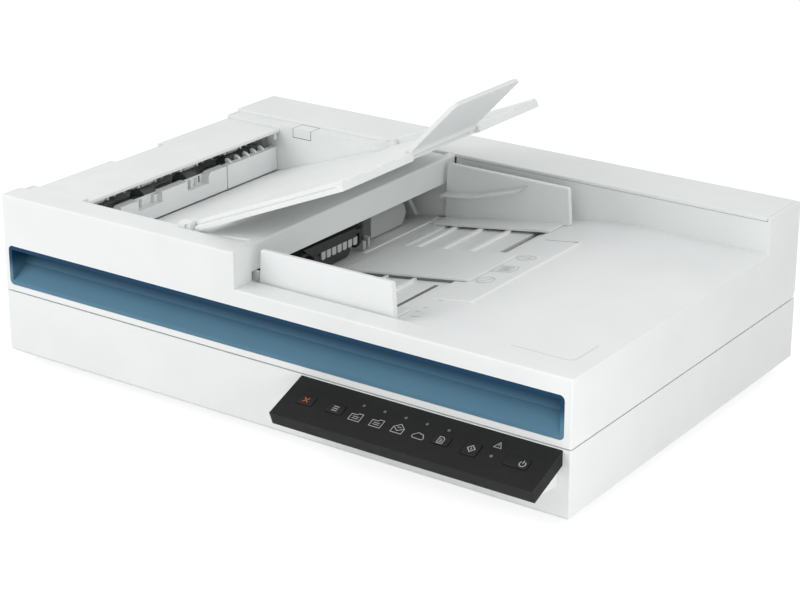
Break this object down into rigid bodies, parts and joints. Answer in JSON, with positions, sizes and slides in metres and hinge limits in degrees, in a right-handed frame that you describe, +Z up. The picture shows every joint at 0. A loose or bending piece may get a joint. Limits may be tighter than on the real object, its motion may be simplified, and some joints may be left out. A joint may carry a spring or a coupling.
{
  "type": "sheet fed document scanner",
  "caption": "Flat desktop document scanner: a glass base with a scanning carriage under a hinged lid with a sheet feeder, width guides and raised output tray.",
  "frame": {"origin": "middle of the whole object's footprint box, on the desk plane under the feet", "axes": "+X to the right along the front, +Y from the front to the back, +Z up"},
  "size_m": [0.451, 0.3312, 0.2133],
  "materials": {
    "white_housing": "fine moulded texture, satin",
    "white_inner": "moulded, satin",
    "black_panel": "fine matte texture",
    "black_inner": "moulded, satin",
    "button_black": "satin",
    "blue_grip": "moulded, satin",
    "clear_glass": "polished",
    "lens_glass": "polished",
    "bright_steel": "bright",
    "motor_can": "satin zinc",
    "black_rubber": "matte",
    "roller_rubber": "matte",
    "gear_plastic": "natural acetal",
    "circuit_board": "solder mask",
    "lamp_plastic": "frosted",
    "white_foam": "soft foam with a film face"
  },
  "bodies": {
    "base": {"base_tub": "white_housing", "base_bezel": "white_inner", "scan_glass": "clear_glass", "guide_rod": "bright_steel", "drive_belt": "black_rubber", "carriage_motor": "motor_can", "main_board": "circuit_board", "usb_socket": "bright_steel", "power_inlet": "black_inner", "rubber_feet": "black_rubber", "base_screws": "bright_steel", "hinge_posts": "bright_steel", "control_panel": "black_panel", "panel_base": "black_panel", "panel_board": "circuit_board", "status_lights": "lamp_plastic", "panel_wedge": "white_housing"},
    "carriage": {"scan_carriage": "black_inner", "carriage_lens": "lens_glass"},
    "motor_pulley": {"motor_pulley": "gear_plastic"},
    "idler_pulley": {"idler_pulley": "gear_plastic"},
    "lid": {"lid_shell": "white_housing", "rear_cover_plate": "white_housing", "grip_recess": "blue_grip", "lid_base": "white_inner", "platen_pad": "white_foam", "presser_plate": "white_inner", "hinge_knuckles": "gear_plastic", "input_deck": "white_housing", "centre_panel": "white_housing", "side_frame_front": "white_inner", "side_frame_rear": "white_inner", "ledge_tab": "white_inner", "output_floor": "white_inner", "stop_wall": "white_inner", "lower_chute": "white_inner", "turn_guide": "white_inner", "feeder_motor": "motor_can", "feeder_belt": "black_rubber"},
    "guide_front": {"guide_front": "white_housing"},
    "guide_rear": {"guide_rear": "white_housing"},
    "pinion": {"rack_pinion": "gear_plastic"},
    "tray": {"output_tray": "white_housing"},
    "flap": {"tray_flap": "white_housing"},
    "cover": {"feeder_cover": "white_housing"},
    "idlers": {"exit_idlers": "gear_plastic"},
    "transport": {"transport_roller": "roller_rubber"},
    "exit": {"exit_roller": "roller_rubber"},
    "idler_gear": {"idler_gear": "gear_plastic"},
    "motor_rotor": {"motor_pinion": "gear_plastic"},
    "feed": {"feed_roller": "roller_rubber"},
    "arm": {"pick_arm": "black_inner"},
    "pick": {"pick_roller": "roller_rubber"},
    "separation": {"separation_roller": "roller_rubber"},
    "flag": {"sheet_flag": "white_inner"},
    "cancel": {"button_cancel": "button_black"},
    "menu": {"button_menu": "button_black"},
    "document": {"button_document": "button_black"},
    "start": {"button_start": "button_black"},
    "power": {"button_power": "button_black"}
  },
  "joints": [
    {"name": "lid_hinge", "type": "hinge", "parent": "base", "child": "lid", "pos_m": [0, 0.16064, 0.0565], "axis": [-1, 0, 0], "range_deg": [0, 75]},
    {"name": "carriage_slide", "type": "slide", "parent": "base", "child": "carriage", "axis": [1, 0, 0], "range_m": [0, 0.314]},
    {"name": "motor_pulley_spin", "type": "hinge", "parent": "base", "child": "motor_pulley", "pos_m": [0.1985, 0.01964, 0.014], "axis": [0, 0, 1], "continuous": true},
    {"name": "idler_pulley_spin", "type": "hinge", "parent": "base", "child": "idler_pulley", "pos_m": [-0.2115, 0.01964, 0.014], "axis": [0, 0, 1], "continuous": true},
    {"name": "cancel_press", "type": "slide", "parent": "base", "child": "cancel", "axis": [0, 0.3681, -0.9298], "range_m": [0, 0.0008], "stiffness_N_per_m": 1500, "springref_m": -0.0005},
    {"name": "menu_press", "type": "slide", "parent": "base", "child": "menu", "axis": [0, 0.3681, -0.9298], "range_m": [0, 0.0008], "stiffness_N_per_m": 1500, "springref_m": -0.0005},
    {"name": "document_press", "type": "slide", "parent": "base", "child": "document", "axis": [0, 0.3681, -0.9298], "range_m": [0, 0.0008], "stiffness_N_per_m": 1500, "springref_m": -0.0005},
    {"name": "start_press", "type": "slide", "parent": "base", "child": "start", "axis": [0, 0.3681, -0.9298], "range_m": [0, 0.0008], "stiffness_N_per_m": 1500, "springref_m": -0.0005},
    {"name": "power_press", "type": "slide", "parent": "base", "child": "power", "axis": [0, 0.3681, -0.9298], "range_m": [0, 0.0008], "stiffness_N_per_m": 1500, "springref_m": -0.0005},
    {"name": "guide_front_slide", "type": "slide", "parent": "lid", "child": "guide_front", "axis": [0, 1, 0], "range_m": [-0.0015, 0.0545]},
    {"name": "guide_rear_slide", "type": "slide", "parent": "lid", "child": "guide_rear", "axis": [0, 1, 0], "range_m": [-0.0545, 0.0015]},
    {"name": "pinion_spin", "type": "hinge", "parent": "lid", "child": "pinion", "pos_m": [0.052, -0.00136, 0.072], "axis": [0, 0, 1], "range_deg": [-262, 9]},
    {"name": "tray_lift", "type": "hinge", "parent": "lid", "child": "tray", "pos_m": [-0.077, -0.00136, 0.1226], "axis": [0, -1, 0], "range_deg": [0, 40]},
    {"name": "flap_fold", "type": "hinge", "parent": "tray", "child": "flap", "pos_m": [0.04347, -0.03636, 0.17408], "axis": [0, -1, 0], "range_deg": [0, 150]},
    {"name": "cover_hinge", "type": "hinge", "parent": "lid", "child": "cover", "pos_m": [-0.1795, -0.00136, 0.112], "axis": [0, 1, 0], "range_deg": [0, 80]},
    {"name": "exit_idler_spin", "type": "hinge", "parent": "cover", "child": "idlers", "pos_m": [-0.194, -0.00136, 0.109], "axis": [0, 1, 0], "continuous": true},
    {"name": "transport_spin", "type": "hinge", "parent": "lid", "child": "transport", "pos_m": [-0.2078, -0.00136, 0.0763], "axis": [0, 1, 0], "continuous": true},
    {"name": "exit_spin", "type": "hinge", "parent": "lid", "child": "exit", "pos_m": [-0.194, -0.00136, 0.0955], "axis": [0, 1, 0], "continuous": true},
    {"name": "idler_gear_spin", "type": "hinge", "parent": "lid", "child": "idler_gear", "pos_m": [-0.18879, 0.11264, 0.07817], "axis": [0, 1, 0], "continuous": true},
    {"name": "motor_spin", "type": "hinge", "parent": "lid", "child": "motor_rotor", "pos_m": [-0.17269, 0.11264, 0.07817], "axis": [0, 1, 0], "continuous": true},
    {"name": "feed_spin", "type": "hinge", "parent": "lid", "child": "feed", "pos_m": [-0.0655, -0.00136, 0.08292], "axis": [0, 1, 0], "continuous": true},
    {"name": "arm_lift", "type": "hinge", "parent": "lid", "child": "arm", "pos_m": [-0.0655, -0.00136, 0.08292], "axis": [0, -1, 0], "range_deg": [0, 12]},
    {"name": "pick_spin", "type": "hinge", "parent": "arm", "child": "pick", "pos_m": [-0.0375, -0.00136, 0.08586], "axis": [0, 1, 0], "continuous": true},
    {"name": "separation_spin", "type": "hinge", "parent": "lid", "child": "separation", "pos_m": [-0.0655, -0.00136, 0.06463], "axis": [0, 1, 0], "continuous": true},
    {"name": "flag_tilt", "type": "hinge", "parent": "lid", "child": "flag", "pos_m": [-0.1055, 0.06764, 0.0614], "axis": [0, 1, 0], "range_deg": [-35, 0], "stiffness_Nm_per_rad": 0.001, "springref_deg": 8.59}
  ],
  "couplings": [
    {"joint": "motor_pulley_spin", "follows": "carriage_slide", "rad_per_m": 160},
    {"joint": "idler_pulley_spin", "follows": "carriage_slide", "rad_per_m": 160},
    {"joint": "guide_rear_slide", "follows": "guide_front_slide", "ratio": -1},
    {"joint": "pinion_spin", "follows": "guide_front_slide", "rad_per_m": -83.333},
    {"joint": "exit_spin", "follows": "transport_spin", "ratio": 1.125},
    {"joint": "idler_gear_spin", "follows": "transport_spin", "ratio": -0.9},
    {"joint": "motor_spin", "follows": "transport_spin", "ratio": 1.5},
    {"joint": "feed_spin", "follows": "transport_spin", "ratio": 1},
    {"joint": "pick_spin", "follows": "transport_spin", "ratio": 1.1},
    {"joint": "separation_spin", "follows": "transport_spin", "ratio": -1.5714}
  ]
}
